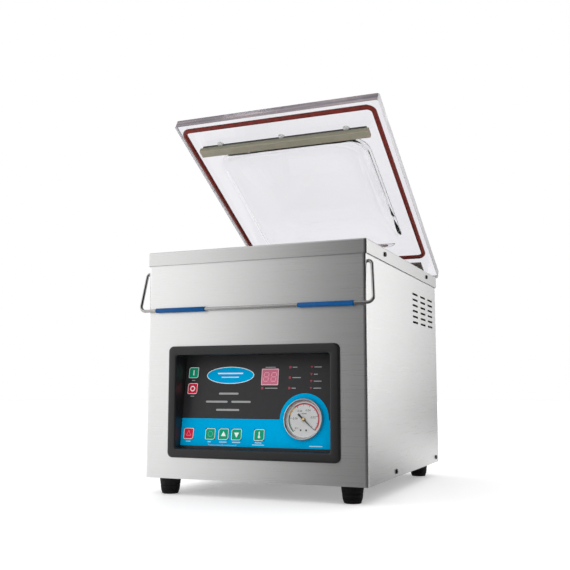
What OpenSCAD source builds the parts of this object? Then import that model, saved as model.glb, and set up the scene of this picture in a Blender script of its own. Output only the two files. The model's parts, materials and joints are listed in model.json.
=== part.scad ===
// Tabletop chamber vacuum sealer: stainless cabinet, drawn chamber, domed clear lid, hold-down bail.
// X to the operator's right, Y to the back, Z up. z = 0 is the table.
// The machine is drawn at rest: lid open, bail hanging, seal bar down, gauge at zero.

/* [Cabinet] */
// Width of the top deck
deck_w = 370; // [364:1:376]
// Front-to-back depth of the top deck
deck_d = 470; // [466:1:480]
// Height of the deck's top above the table
deck_h = 382; // [380:1:390]
// Height of the deck's turned-down skirt
skirt_h = 22; // [20:1:23]
// Sheet thickness of the deck, tub and base
sheet = 1.5; // [1.2:0.1:1.6]
// Height of the rubber feet
foot_h = 25.5; // [22:0.5:28]

/* [Chamber] */
// Inner width of the chamber
chamber_w = 320; // [310:1:322]
// Inner front-to-back length of the chamber
chamber_d = 370; // [360:1:372]
// Depth of the chamber below the deck
chamber_depth = 130; // [120:1:132]
// Travel of the seal bar
bar_lift = 8; // [5:0.5:10]

/* [Lid] */
// Width of the clear lid
lid_w = 368; // [360:1:370]
// Front-to-back length of the clear lid
lid_d = 480; // [474:1:482]
// Thickness of the clear plate
lid_t = 16; // [12:0.5:18]
// Rise of the dome above the plate
dome_rise = 28; // [20:1:32]
// Angle at which the lid stands open
lid_open = 29; // [20:1:30]

/* [Controls] */
// Outer width of the panel bezel
bezel_w = 283; // [280:1:286]
// Outer height of the panel bezel
bezel_h = 172; // [170:1:174]
// Lean of the recessed control panel
panel_tilt = 8; // [4:0.5:9]
// Side of a square key
key_size = 17; // [15:0.5:18]
// Diameter of the gauge's ring
gauge_d = 61; // [56:1:63]

/* [Hidden] */
$fn = 48;
e = 0.5;              // overshoot of every cut
gap = 0.3;            // air between parts that move past each other
run_gap = 0.05;       // radial clearance of a running fit

// Cabinet
overhang = 2.2;                       // deck beyond the cabinet on each side
wall = 1.2;                           // cabinet sheet
corner_r = 5;                         // bend at the cabinet's vertical corners
side_x = deck_w / 2 - overhang;       // outer face of the cabinet's sides
half_d = deck_d / 2 - overhang;       // centre of the deck to the cabinet's front face
deck_under = deck_h - sheet;
skirt_z = deck_h - skirt_h;

// Hinge and lid. Lid parts are drawn closed, about the hinge axis, then swung open.
hinge_back = half_d + 10;             // hinge axis behind the deck's centre
hinge_z = skirt_z - 9;
seal_gap = 5.3;                       // deck to the lid's underside, closed
lid_z = deck_h + seal_gap - hinge_z;  // lid's underside above the hinge axis, closed
lid_back = -0.3;                      // lid's rear edge from the hinge axis, closed

// Bail: a bent wire that hangs on the front and swings over to hold the lid down
wire_r = 2.5;
sleeve_r = 3.75;
sleeve_from = 78;
sleeve_to = 165;
bail_back = -half_d + 8;              // bail axis from the deck's centre
bail_z = deck_h - 33;
bail_drop = 62;                       // bail axis to the hanging crossbar
bail_out = 8 + sleeve_r + 0.45;       // the same, forward
bail_len = sqrt(pow(bail_drop, 2) + pow(bail_out, 2));
bail_tilt = atan(bail_out / bail_drop);
bail_splay = 5;
bail_neck_x = side_x + 1.4;           // start of the wire's upper bend
bail_neck_r = 6;
bail_foot_r = 9;

// The frame's origin lies under the middle of the open machine, so the deck's centre is off it.
lid_reach = hinge_back + lid_back * cos(lid_open) + (lid_z + lid_t) * sin(lid_open);
bail_reach = half_d + 2 * sleeve_r + 0.45;
deck_y = (bail_reach - lid_reach) / 2;
front_y = deck_y - half_d;
rear_y = deck_y + half_d;
hinge_y = deck_y + hinge_back;
bail_y = deck_y + bail_back;

// Lid features, as distances from the lid's rear edge
gasket_r = 4;
gasket_x = 172;
gasket_rear = 76;
gasket_front = 468;
dome_x = 135;
dome_rear = 110;
dome_front = 395;
dome_wall = 8;
pad_rear = 412;
pad_front = 428;
pad_x = 155;
pad_h = 13;
rail_h = 4.5;
leaf_x = 161;
leaf_reach = 57;
leaf_t = 4;
leaf_rear = 2.3;                      // leaf's rear face ahead of the hinge axis
bolt_a = 28;
BOLT_X = [-140, -50, 50, 140];

// Chamber
chamber_r = 25;
tub_t = 2;
tub_floor = deck_h - chamber_depth;
chamber_front = deck_y - 217;
chamber_y = chamber_front + chamber_d / 2;
suction_x = -125;
suction_y = deck_y + 122;

// Seal bar under the lid's pad
bar_y = hinge_y + lid_back - (pad_rear + pad_front) / 2;
bar_top = deck_h + seal_gap - pad_h - gap - bar_lift;
tape_t = 0.3;
wire_t = 0.4;
bar_h = 38;
bar_len = 300;
bar_w = 16;
bar_body_top = bar_top - tape_t - wire_t;
pin_x = 115;
pin_r = 5;

// Lid lift: arms on the hinge pins, cranked forward to two gas struts
arm_x = 132;
arm_t = 6;
hinge_r = 5;
crank_len = 35;
crank_down = -lid_open / 2;           // crank's angle with the lid closed
strut_x = 150;
strut_y = hinge_y - crank_len * (1 + cos(lid_open / 2)) / 2;
strut_eye_z = hinge_z + crank_len * sin(lid_open / 2);
strut_pin_r = 4;
strut_top = 300;
slot_drop = 13;                       // crank slot's lower end below the hinge axis
bolt_drop = 18;                       // bracket bolts below the hinge axis
switch_y = hinge_y - 20.8;            // lid switch under the left arm
switch_top = hinge_z - 23;
plunger_top = hinge_z - 11.2;

// Control panel, in its own leaning frame: x across, y into the machine, z up the panel
bezel_z = 57.75;                      // bezel's lower edge
lip = 14.25;                          // bezel's border
opening_w = bezel_w - 2 * lip;
opening_h = bezel_h - 2 * lip;
opening_z = bezel_z + lip;
panel_depth = 11;                     // panel's lower edge behind the cabinet's front
collar_t = 4;
panel_t = 2;
film_t = 0.3;
band_low = 4;
band_high = 46;
gauge_x = 79;
gauge_up = 46.5;
disc_r = 39;
gauge_in = 26.5;                      // inside radius of the gauge
gauge_back = 26;                      // gauge's can behind the panel
gauge_stem = 14;
key_proud = 0.9;
// name order: on, off, stop, set, up, down, temp
KEY_AT = [[-112.5, 118], [-112.5, 92.7], [-113, 22.5], [-75, 22.5], [-52.3, 22.5], [-30.1, 22.5],
    [7.8, 22.5]];
LAMP_ROWS = [125.2, 109.3, 93.3];
STAGE_ROWS = [125.2, 114.3, 103.8, 93.3];
lamp_x = 53;
stage_x = 87.7;
display_at = [20, 110.5];
display_size = [27, 24];

// Under the chamber
pump_x = 60;
pump_z = foot_h + sheet + 13;         // underside of the pump
motor_z = pump_z + 70;
motor_r = 60;
motor_l = 138;
motor_front = deck_y + 40;
base_top = foot_h + sheet;
valve_x = -60;
valve_z = 196;
valve_h = 26;
port_y = -14;                         // pump's port, from the deck's centre
VALVE_Y = [port_y, 90];               // the same
hose_r = 8;
inlet_x = -110;
inlet_z = 84;

// Fasteners
screw_r = 2;
head_r = 3.6;
SKIRT_SCREW_Y = [-137, 149];
BASE_SCREW_Y = [-82, 206];
REAR_SCREW_Z = [46, 190, 322];
skirt_screw_z = deck_h - 10.4;
base_screw_z = foot_h + 9.3;
rear_screw_x = side_x - 9;

function sides() = [-1, 1];

// ---- shapes ----

module rounded(w, d, r) {
    square([w - 2 * r, d], center = true);
    square([w, d - 2 * r], center = true);
    for (x = sides(), y = sides()) translate([x * (w / 2 - r), y * (d / 2 - r)]) circle(r);
}

module slab(w, d, h, r) { linear_extrude(h) rounded(w, d, r); }

// A cylinder along X or Y, from the named point
module rod_x(r, l) { rotate([0, 90, 0]) cylinder(h = l, r = r); }
module rod_y(r, l) { rotate([-90, 0, 0]) cylinder(h = l, r = r); }

// A plate in the YZ plane from a 2D outline drawn as (y, z)
module plate_yz(t) { rotate([90, 0, 90]) linear_extrude(t, center = true) children(); }

function unit(v) = v / norm(v);

// Half the width of a circle of radius r at height h above its centre
function half_chord(r, h) = sqrt(pow(r, 2) - pow(h, 2));

// A ball just proud of a wire or hose, where a bend meets a straight run
module knuckle(r) { sphere(r + 0.05); }

// A round hose along straight runs joined by round bends
module piped(points, r, bend) {
    last = len(points) - 1;
    turn = [for (i = [1:last - 1]) acos(unit(points[i] - points[i - 1]) * unit(points[i + 1] - points[i]))];
    for (i = [0:last - 1]) {
        u = unit(points[i + 1] - points[i]);
        from = points[i] + u * (i == 0 ? 0 : bend * tan(turn[i - 1] / 2));
        to = points[i + 1] - u * (i == last - 1 ? 0 : bend * tan(turn[i] / 2));
        translate(from) rotate([0, acos(u.z), atan2(u.y, u.x)]) cylinder(h = norm(to - from), r = r);
        if (i > 0) translate(from) knuckle(r);
        if (i < last - 1) translate(to) knuckle(r);
    }
    for (i = [1:last - 1]) {
        u = unit(points[i] - points[i - 1]);
        v = unit(points[i + 1] - points[i]);
        w = unit(v - u * (u * v));
        n = cross(-w, u);
        c = points[i] - u * bend * tan(turn[i - 1] / 2) + w * bend;
        multmatrix([[-w.x, u.x, n.x, c.x], [-w.y, u.y, n.y, c.y], [-w.z, u.z, n.z, c.z], [0, 0, 0, 1]])
            rotate_extrude(angle = turn[i - 1]) translate([bend, 0]) circle(r);
    }
}

module on_deck() { translate([0, deck_y, 0]) children(); }
module in_lid() { translate([0, hinge_y, hinge_z]) rotate([-lid_open, 0, 0]) children(); }
module in_bail() { translate([0, bail_y, bail_z]) rotate([-bail_tilt, 0, 0]) children(); }
module on_panel() {
    translate([0, front_y + panel_depth, opening_z]) rotate([-panel_tilt, 0, 0]) children();
}
module at_gauge() { on_panel() translate([gauge_x, 0, gauge_up]) children(); }

// ---- cabinet ----

module side_holes(z, ys, r) {
    for (y = ys) translate([-side_x - 10, deck_y + y, z]) rod_x(r, 2 * side_x + 20);
}

module base_pan() {
    w = 2 * (side_x - wall) - 0.4;
    d = 2 * (half_d - wall) - 0.4;
    color("lightgray") difference() {
        translate([0, deck_y, foot_h]) slab(w, d, 16, 4);
        translate([0, deck_y, base_top]) slab(w - 2 * sheet, d - 2 * sheet, 16, 3);
        side_holes(base_screw_z, BASE_SCREW_Y, screw_r + 0.1);
    }
}

module vent_slots(x) {
    slot_l = 38.5;
    slot_w = 3.6;
    pitch = 10;
    for (y = [65, 124, 182], k = [0:5]) translate([x, deck_y + y, 279.7 + k * pitch]) {
        cube([8, slot_l - slot_w, slot_w], center = true);
        for (s = sides()) translate([-4, s * (slot_l - slot_w) / 2, 0]) rod_x(slot_w / 2, 8);
    }
}

module cabinet_shell() {
    w = 2 * side_x;
    d = 2 * half_d;
    flange = 16;
    color("silver") difference() {
        translate([0, deck_y, foot_h]) slab(w, d, deck_under - foot_h, corner_r);
        translate([0, deck_y, foot_h - e])
            slab(w - 2 * wall, d - 2 * wall, deck_h, corner_r - wall);
        translate([-side_x + flange, rear_y - 8, foot_h - e]) cube([w - 2 * flange, 20, deck_h]);
        translate([0, front_y, opening_z + opening_h / 2]) rotate([90, 0, 0])
            translate([0, 0, -5]) slab(opening_w + 2 * collar_t + 0.4, opening_h + 2 * collar_t + 0.4, 10, 5);
        for (s = sides()) vent_slots(s * side_x);
        translate([-side_x - 10, bail_y, bail_z]) rod_x(wire_r + 0.06, 2 * side_x + 20);
        side_holes(skirt_screw_z, SKIRT_SCREW_Y, screw_r + 0.1);
        side_holes(base_screw_z, BASE_SCREW_Y, screw_r + 0.1);
        rear_screw_holes();
    }
}

module rear_screw_holes() {
    for (s = sides(), z = REAR_SCREW_Z) translate([s * rear_screw_x, rear_y - 20, z])
        rod_y(screw_r + 0.1, 40);
}

module rear_panel() {
    top = skirt_z - 1;
    half = side_x - corner_r - 0.3;
    color("silver") difference() {
        translate([-half, rear_y, foot_h + e]) cube([2 * half, wall, top - foot_h - e]);
        for (s = sides()) {
            translate([s * arm_x - 4.5, rear_y - e, hinge_z - slot_drop]) cube([9, wall + 2 * e, 40]);
            for (x = sides()) translate([s * arm_x + x * 18, rear_y - e, hinge_z - bolt_drop])
                rod_y(2.6, wall + 2 * e);
        }
        rear_screw_holes();
        for (k = [-5:5]) translate([pump_x, rear_y + wall / 2, motor_z + k * 9])
            cube([2 * half_chord(52, k * 9), wall + 2 * e, 4], center = true);
        translate([inlet_x - 14, rear_y - e, inlet_z - 10]) cube([28, wall + 2 * e, 20]);
    }
}

module rubber_feet() {
    color("#1c1c1c") for (x = sides(), y = [-208, 197]) translate([x * 151, deck_y + y, 0]) {
        cylinder(h = 2, r1 = 12.5, r2 = 14.5);
        translate([0, 0, 2]) cylinder(h = foot_h - 2, r1 = 14.5, r2 = 17);
    }
}

module deck_block(w, d, h, r, top_r) {
    hull() for (x = sides(), y = sides()) translate([x * (w / 2 - r), y * (d / 2 - r), 0]) {
        cylinder(h = h - top_r, r = r, $fn = 32);
        translate([0, 0, h - top_r]) rotate_extrude($fn = 32)
            translate([r - top_r, 0]) circle(top_r, $fn = 24);
    }
}

module chamber_deck() {
    color("gainsboro") difference() {
        translate([0, deck_y, skirt_z]) deck_block(deck_w, deck_d, skirt_h, corner_r, 2.5);
        translate([0, deck_y, skirt_z - e])
            slab(deck_w - 2 * sheet, deck_d - 2 * sheet, skirt_h - sheet + e, corner_r - sheet);
        translate([0, chamber_y, skirt_z]) slab(chamber_w, chamber_d, skirt_h + e, chamber_r);
        side_holes(skirt_screw_z, SKIRT_SCREW_Y, screw_r + 0.1);
    }
}

module chamber_tub() {
    lip_w = 8;
    color("gainsboro") difference() {
        union() {
            translate([0, chamber_y, tub_floor - tub_t])
                slab(chamber_w + 2 * tub_t, chamber_d + 2 * tub_t, deck_under - tub_floor + tub_t,
                    chamber_r + tub_t);
            translate([0, chamber_y, deck_under - sheet])
                slab(chamber_w + 2 * lip_w, chamber_d + 2 * lip_w, sheet, chamber_r + lip_w);
        }
        translate([0, chamber_y, tub_floor]) slab(chamber_w, chamber_d, chamber_depth, chamber_r);
        translate([suction_x, suction_y, tub_floor - 5]) cylinder(h = 10, r = 10.02);
    }
}

module suction_fitting() {
    color("goldenrod") translate([suction_x, suction_y, 0]) difference() {
        union() {
            translate([0, 0, tub_floor]) cylinder(h = 6, r = 14, $fn = 6);
            translate([0, 0, tub_floor - 20]) cylinder(h = 20, r = 10);
            translate([0, 0, tub_floor - 8]) cylinder(h = 8 - tub_t, r = 15);
        }
        translate([0, 0, tub_floor - 21]) cylinder(h = 40, r = 6);
    }
}

module filler_plates() {
    plate_t = 12;
    plate_front = bar_y + 26;
    plate_d = suction_y - 20 - plate_front;
    color("white") for (k = [0:1])
        translate([0, plate_front + plate_d / 2, tub_floor + k * plate_t])
            slab(chamber_w - 14, plate_d, plate_t - 0.1, 6);
}

// ---- seal bar and its lift ----

module lift_cylinders() {
    h = 70;
    color("silver") for (s = sides()) translate([s * pin_x, bar_y, tub_floor]) difference() {
        union() {
            cylinder(h = 5, r = 21);
            cylinder(h = h, r = 15);
        }
        translate([0, 0, 10]) cylinder(h = h, r = pin_r + run_gap);
    }
}

module electrode_pins() {
    from = tub_floor + 16;
    color("goldenrod") for (s = sides()) translate([s * pin_x, bar_y, from])
        cylinder(h = bar_body_top - bar_h - from, r = pin_r);
}

module seal_bar_body() {
    foot_w = 24;
    color("darkgray") translate([0, bar_y, bar_body_top - bar_h]) {
        translate([-bar_len / 2, -bar_w / 2, 0]) cube([bar_len, bar_w, bar_h]);
        for (s = sides()) translate([s * pin_x, 0, 4]) cube([30, foot_w, 8], center = true);
    }
}

module sealing_wires() {
    color("dimgray") for (s = sides()) translate([-bar_len / 2, bar_y + s * 3.5 - 1.5, bar_body_top])
        cube([bar_len, 3, wire_t]);
}

module ptfe_strip() {
    color("peru") translate([-bar_len / 2 + 4, bar_y - 7, bar_body_top + wire_t])
        cube([bar_len - 8, 14, tape_t]);
}

// ---- lid ----

// Rounded rectangle in the lid's plane between two distances from the rear edge
module lid_rect(half_x, near, far, r) {
    translate([0, lid_back - (near + far) / 2]) rounded(2 * half_x, far - near, r);
}

module vault(half_x, near, far, rise, side, r) {
    steps = 8;
    hull() for (i = [0:steps]) {
        in = side * (1 - cos(90 * i / steps));
        translate([0, 0, rise * sin(90 * i / steps)]) linear_extrude(0.01)
            lid_rect(half_x - in, near + in, far - in, r + in * 0.5, $fn = 32);
    }
}

module lid_plate() {
    hollow = lid_t + dome_rise - dome_wall;
    color("#dfe6ee", 0.45) in_lid() difference() {
        union() {
            translate([0, 0, lid_z]) linear_extrude(lid_t) lid_rect(lid_w / 2, 0, lid_d, 4);
            translate([0, 0, lid_z + lid_t])
                vault(dome_x + 10, dome_rear - 10, dome_front + 10, dome_rise, 70, 40);
        }
        translate([0, 0, lid_z - 0.01]) vault(dome_x, dome_rear, dome_front, hollow, 70, 32);
        translate([0, 0, lid_z - e]) linear_extrude(gasket_r - 0.8 + e) difference() {
            lid_rect(gasket_x + 4.2, gasket_rear - 4.2, gasket_front + 4.2, 16.2);
            lid_rect(gasket_x - 4.2, gasket_rear + 4.2, gasket_front - 4.2, 7.8);
        }
        for (x = BOLT_X) translate([x, lid_back - bolt_a, lid_z - e]) cylinder(h = lid_t + 2 * e, r = 3.3);
    }
}

module lid_gasket() {
    bend = 12;
    mid = lid_back - (gasket_rear + gasket_front) / 2;
    half_y = (gasket_front - gasket_rear) / 2;
    color("#8a2a1e") in_lid() translate([0, mid, lid_z - 1]) {
        for (s = sides()) {
            translate([-gasket_x + bend, s * half_y, 0]) rod_x(gasket_r, 2 * (gasket_x - bend));
            translate([s * gasket_x, -half_y + bend, 0]) rod_y(gasket_r, 2 * (half_y - bend));
        }
        for (x = sides(), y = sides()) translate([x * (gasket_x - bend), y * (half_y - bend), 0])
            rotate(x > 0 ? (y > 0 ? 0 : 270) : (y > 0 ? 90 : 180))
                rotate_extrude(angle = 90) translate([bend, 0]) circle(gasket_r);
    }
}

module pad_rail() {
    color("#3a3836") in_lid() translate([-pad_x + 4, lid_back - pad_front, lid_z - rail_h])
        cube([2 * pad_x - 8, pad_front - pad_rear, rail_h]);
}

module seal_pad() {
    edge = 2;
    w = pad_front - pad_rear;
    h = pad_h - rail_h;
    color("#8f8b73") in_lid() translate([0, lid_back - pad_front, lid_z - pad_h]) plate_yz(2 * pad_x) {
        translate([0, edge]) square([w, h - edge]);
        translate([edge, 0]) square([w - 2 * edge, edge]);
        for (y = [edge, w - edge]) translate([y, edge]) circle(edge, $fn = 24);
    }
}

module pad_studs() {
    color("#dfe6ee", 0.6) in_lid() for (x = [-116, 0, 116]) difference() {
        translate([x, lid_back - pad_front, lid_z - 4]) cylinder(h = 4, r1 = 4, r2 = 6);
        translate([x - 10, lid_back - pad_front, lid_z - 5]) cube([20, 20, 6]);
    }
}

module hinge_leaf() {
    drop = 10.6;
    color("#5a5450") in_lid() difference() {
        union() {
            translate([-leaf_x, lid_back - leaf_reach, lid_z - leaf_t])
                cube([2 * leaf_x, leaf_reach - leaf_rear - lid_back, leaf_t]);
            translate([-leaf_x, -leaf_rear - leaf_t, drop]) cube([2 * leaf_x, leaf_t, lid_z - drop]);
        }
        for (x = BOLT_X) translate([x, lid_back - bolt_a, 0]) cylinder(h = 60, r = 3.05);
    }
}

module lid_bolts() {
    color("silver") in_lid() for (x = BOLT_X) translate([x, lid_back - bolt_a, lid_z - leaf_t]) {
        cylinder(h = leaf_t + lid_t, r = 3);
        translate([0, 0, leaf_t + lid_t]) cylinder(h = 3.5, r1 = 6.5, r2 = 4.5);
    }
}

module arm_outline() {
    crank = [crank_len * cos(crank_down), crank_len * sin(crank_down)];
    circle(8.5);
    translate([-leaf_rear, 0]) square([9, lid_z - 2.5]);
    translate([-crank.x, crank.y]) circle(8);
    rotate(180 - crank_down) translate([0, -5.2]) square([crank_len, 10.4]);
}

module lid_arms() {
    crank_y = -crank_len * cos(crank_down);
    crank_z = crank_len * sin(crank_down);
    color("#5a5450") in_lid() for (s = sides()) {
        difference() {
            translate([s * arm_x, 0, 0]) plate_yz(arm_t) arm_outline();
            translate([s * arm_x - 10, 0, 0]) rod_x(hinge_r + run_gap, 20);
        }
        mirror([s < 0 ? 1 : 0, 0, 0]) {
            translate([arm_x + arm_t / 2, crank_y, crank_z]) {
                rod_x(6.5, strut_x - 4.6 - arm_x - arm_t / 2);
                rod_x(strut_pin_r, strut_x + 5.6 - arm_x - arm_t / 2);
            }
            translate([strut_x + 4.6, crank_y, crank_z]) rod_x(6.5, 2);
        }
    }
}

// ---- hinge and struts ----

module hinge_brackets() {
    ear = 5;
    inner = arm_t / 2 + 0.4;
    base_y = rear_y + wall;
    base_t = 3;
    color("silver") for (s = sides()) difference() {
        union() {
            translate([s * arm_x - 24, base_y, hinge_z - 26]) cube([48, base_t, 34.5]);
            for (x = sides()) translate([s * arm_x + x * (inner + ear / 2), 0, 0]) {
                translate([0, hinge_y, hinge_z]) plate_yz(ear) circle(9);
                translate([-ear / 2, base_y, hinge_z - 8.5]) cube([ear, hinge_y - base_y, 17]);
            }
        }
        translate([s * arm_x - 20, hinge_y, hinge_z]) rod_x(hinge_r + 0.02, 40);
        translate([s * arm_x - inner, base_y - e, hinge_z - slot_drop]) cube([2 * inner, base_t + 2 * e, 40]);
        for (x = sides()) translate([s * arm_x + x * 18, base_y - e, hinge_z - bolt_drop]) rod_y(2.6, 10);
    }
}

module hinge_pins() {
    half = arm_t / 2 + 0.4 + 5;
    color("gray") for (s = sides()) translate([s * arm_x, hinge_y, hinge_z]) {
        translate([-half, 0, 0]) rod_x(hinge_r, 2 * half);
        for (x = [-half - 2.5, half]) translate([x, 0, 0]) rod_x(5.5, 2.5);
    }
}

module gas_strut_tubes() {
    bottom = base_top + 18;
    color("#222222") for (s = sides()) translate([s * strut_x, strut_y, 0]) {
        difference() {
            translate([0, 0, bottom]) cylinder(h = strut_top - bottom, r = 10);
            translate([0, 0, bottom + 5]) cylinder(h = strut_top - bottom - 15, r = 8);
            translate([0, 0, bottom + 5]) cylinder(h = strut_top, r = strut_pin_r + run_gap);
        }
        translate([-6, -8, base_top]) cube([12, 16, 18]);
    }
}

module strut_rod(s) {
    piston_z = 200;
    color("silver") translate([s * strut_x, strut_y, 0]) difference() {
        union() {
            translate([0, 0, piston_z]) cylinder(h = strut_eye_z - 7 - piston_z, r = strut_pin_r);
            translate([0, 0, piston_z]) cylinder(h = 6, r = 8 - run_gap);
            translate([-4, 0, strut_eye_z]) rod_x(9, 8);
        }
        translate([-10, 0, strut_eye_z]) rod_x(strut_pin_r + 1, 20);
    }
}

module strut_rod_left() { strut_rod(-1); }
module strut_rod_right() { strut_rod(1); }

module lid_switch() {
    color("#2a2a2a") difference() {
        translate([-arm_x - 7, switch_y - 8, switch_top - 26]) cube([14, rear_y - switch_y + 8, 26]);
        translate([-arm_x, switch_y, switch_top - 10]) cylinder(h = 20, r = 2 + run_gap);
    }
}

module switch_plunger() {
    color("firebrick") translate([-arm_x, switch_y, switch_top - 7])
        cylinder(h = plunger_top - switch_top + 7, r = 2);
}

// ---- bail ----

bail_run = (bail_len - bail_neck_r - bail_foot_r + (bail_neck_r - bail_foot_r) * sin(bail_splay))
    / cos(bail_splay);
bail_arm = [bail_neck_x + bail_neck_r * cos(bail_splay), bail_neck_r * (sin(bail_splay) - 1)];
bail_foot_x = bail_arm.x + bail_run * sin(bail_splay) - bail_foot_r * cos(bail_splay);

// One end: a stub through the cabinet's side, and an arm between two bends. The bends are a little
// thicker than the wire, and its straight lengths reach into them.
module bail_half() {
    bend_r = wire_r + 0.04;
    reach = 0.3;
    translate([side_x - 8, 0, 0]) rod_x(wire_r, bail_neck_x - side_x + 8 + reach);
    rotate([90, 0, 0]) {
        translate([bail_neck_x, -bail_neck_r]) rotate(bail_splay) rotate_extrude(angle = 90 - bail_splay)
            translate([bail_neck_r, 0]) circle(bend_r);
        translate([bail_foot_x, bail_foot_r - bail_len]) rotate(-90)
            rotate_extrude(angle = 90 + bail_splay) translate([bail_foot_r, 0]) circle(bend_r);
    }
    translate([bail_arm.x, 0, bail_arm.y]) rotate([0, 180 - bail_splay, 0])
        translate([0, 0, -reach]) cylinder(h = bail_run + 2 * reach, r = wire_r);
    translate([0, 0, -bail_len]) rod_x(wire_r, bail_foot_x + reach);
}

module bail_wire() {
    color("#6f6f6f") in_bail() for (s = [0, 1]) mirror([s, 0, 0]) bail_half();
}

module bail_sleeves() {
    color("#1550a8") in_bail() for (s = [0, 1]) mirror([s, 0, 0]) difference() {
        translate([sleeve_from, 0, -bail_len]) rod_x(sleeve_r, sleeve_to - sleeve_from);
        translate([sleeve_from - 1, 0, -bail_len]) rod_x(wire_r + 0.02, sleeve_to - sleeve_from + 2);
    }
}

// ---- controls ----

module panel_space(depth) {
    on_panel() translate([-200, 0, -100]) cube([400, depth, 400]);
}

module bezel() {
    proud = 5;
    mid_z = bezel_z + bezel_h / 2;
    color("#3c3c3e") difference() {
        union() {
            translate([0, front_y, mid_z]) rotate([90, 0, 0]) hull() {
                slab(bezel_w, bezel_h, 1.5, 8, $fn = 32);
                slab(bezel_w - 6, bezel_h - 6, proud, 6, $fn = 32);
            }
            difference() {
                translate([0, front_y + 45, mid_z]) rotate([90, 0, 0])
                    slab(opening_w + 2 * collar_t, opening_h + 2 * collar_t, 45, 4.8);
                panel_space(80);
            }
        }
        translate([0, front_y + 60, mid_z]) rotate([90, 0, 0]) slab(opening_w, opening_h, 80, 3);
    }
}

module key_holes(h) {
    for (at = KEY_AT) translate([at.x, 0, at.y])
        cube([key_size + 0.6, h, key_size + 0.6], center = true);
}

module control_panel() {
    color("#2c2c2e") on_panel() difference() {
        translate([-opening_w / 2 - 3, 0, -3])
            cube([opening_w + 6, panel_t, opening_h / cos(panel_tilt) + 4.5]);
        key_holes(20);
        translate([gauge_x, -10, gauge_up]) rod_y(28.2, 20);
        translate([display_at.x, 0, display_at.y])
            cube([display_size.x + 0.2, 20, display_size.y + 0.2], center = true);
    }
}

module panel_overlay() {
    half = opening_w / 2 - 0.4;
    color("#0a9fe0") on_panel() difference() {
        union() {
            translate([-half, -film_t, band_low]) cube([2 * half, film_t, band_high - band_low]);
            translate([gauge_x, -film_t, gauge_up]) rod_y(disc_r, film_t);
        }
        key_holes(5);
        translate([gauge_x, -10, gauge_up]) rod_y(gauge_d / 2 + 0.1, 20);
    }
}

module display_window() {
    low = display_at - display_size / 2;
    color("#c76a86") on_panel() translate([low.x, -0.4, low.y])
        cube([display_size.x, 0.4 + panel_t, display_size.y]);
}

module indicator_lamps() {
    lamp = 3.6;
    color("#d8506a") on_panel() {
        for (z = LAMP_ROWS) translate([lamp_x - lamp / 2, -0.4, z - lamp / 2]) cube([lamp, 0.4, lamp]);
        translate([8.2 - lamp / 2, -0.4, LAMP_ROWS[2] - lamp / 2]) cube([lamp, 0.4, lamp]);
        for (z = STAGE_ROWS) translate([stage_x, 0, z]) rotate([90, 0, 0])
            linear_extrude(0.4) polygon([[-2.2, 1.6], [2.2, 1.6], [0, -1.9]]);
    }
}

module key(at) {
    flange = 1;
    color("#0c8f6c") on_panel() translate([at.x, 0, at.y]) {
        translate([0, panel_t + gap, 0]) rotate([90, 0, 0]) linear_extrude(panel_t + gap + key_proud) hull() {
            for (x = sides()) translate([x, x] * (key_size / 2 - 1.5)) circle(1.5, $fn = 24);
            for (x = sides()) translate([x, -x] * (key_size / 2 - 4)) circle(4, $fn = 24);
        }
        translate([0, panel_t + gap + 0.4, 0])
            cube([key_size + 2 * flange, 0.8, key_size + 2 * flange], center = true);
    }
}

module key_on() { key(KEY_AT[0]); }
module key_off() { key(KEY_AT[1]); }
module key_stop() { key(KEY_AT[2]); }
module key_set() { key(KEY_AT[3]); }
module key_up() { key(KEY_AT[4]); }
module key_down() { key(KEY_AT[5]); }
module key_temp() { key(KEY_AT[6]); }

module gauge_case() {
    ring_h = 6;
    color("silver") at_gauge() rotate([90, 0, 0]) difference() {
        union() {
            translate([0, 0, -gauge_back]) cylinder(h = gauge_back + 1, r = 28, $fn = 64);
            translate([0, 0, 0]) cylinder(h = ring_h - 1.5, r = gauge_d / 2, $fn = 64);
            translate([0, 0, ring_h - 1.5])
                cylinder(h = 1.5, r1 = gauge_d / 2, r2 = gauge_d / 2 - 1.5, $fn = 64);
            translate([0, 0, -gauge_back - gauge_stem]) cylinder(h = gauge_stem, r = 5);
        }
        translate([0, 0, -gauge_back + 2]) cylinder(h = 60, r = gauge_in, $fn = 64);
        translate([0, 0, -gauge_back - gauge_stem - 1]) cylinder(h = 60, r = 1.5);
    }
}

module gauge_dial() {
    color("white") at_gauge() rotate([90, 0, 0]) difference() {
        translate([0, 0, -0.5]) cylinder(h = 1, r = gauge_in - 0.1, $fn = 64);
        translate([0, 0, -2]) cylinder(h = 5, r = 1 + run_gap);
    }
}

module gauge_lens() {
    color("#e8f0f8", 0.35) at_gauge() translate([0, -4.7, 0]) rod_y(gauge_in - 0.1, 1.5, $fn = 64);
}

module gauge_needle() {
    zero = -41;
    color("black") at_gauge() {
        translate([0, -1.9, 0]) rotate([90, 0, 0]) rotate(zero) linear_extrude(0.6)
            polygon([[24.5, 0], [3, 0.9], [-12, 1.5], [-12, -1.5], [3, -0.9]]);
        translate([0, -2.8, 0]) rod_y(2.6, 1.6);
        translate([0, -2.8, 0]) rod_y(1, 8);
    }
}

module control_board() {
    from = 12;
    color("darkgreen") on_panel() {
        translate([-124, from, 8]) cube([166, 1.6, 124]);
        for (x = [-94, 37], z = [13, 127]) translate([x, panel_t, z]) rod_y(2.5, from - panel_t);
        for (at = KEY_AT) translate([at.x, from - 8, at.y]) rod_y(3, 8);
        translate([-100, from + 1.6, 40]) cube([20, 16, 28]);
        translate([-70, from + 1.6, 40]) cube([20, 16, 28]);
        translate([-20, from + 1.6, 60]) rod_y(9, 18);
    }
}

// ---- machinery ----

module pump_mounts() {
    color("#1c1c1c") for (x = sides(), y = [-120, -10]) translate([pump_x + x * 42, deck_y + y, base_top])
        cylinder(h = pump_z - base_top, r = 11);
}

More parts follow.
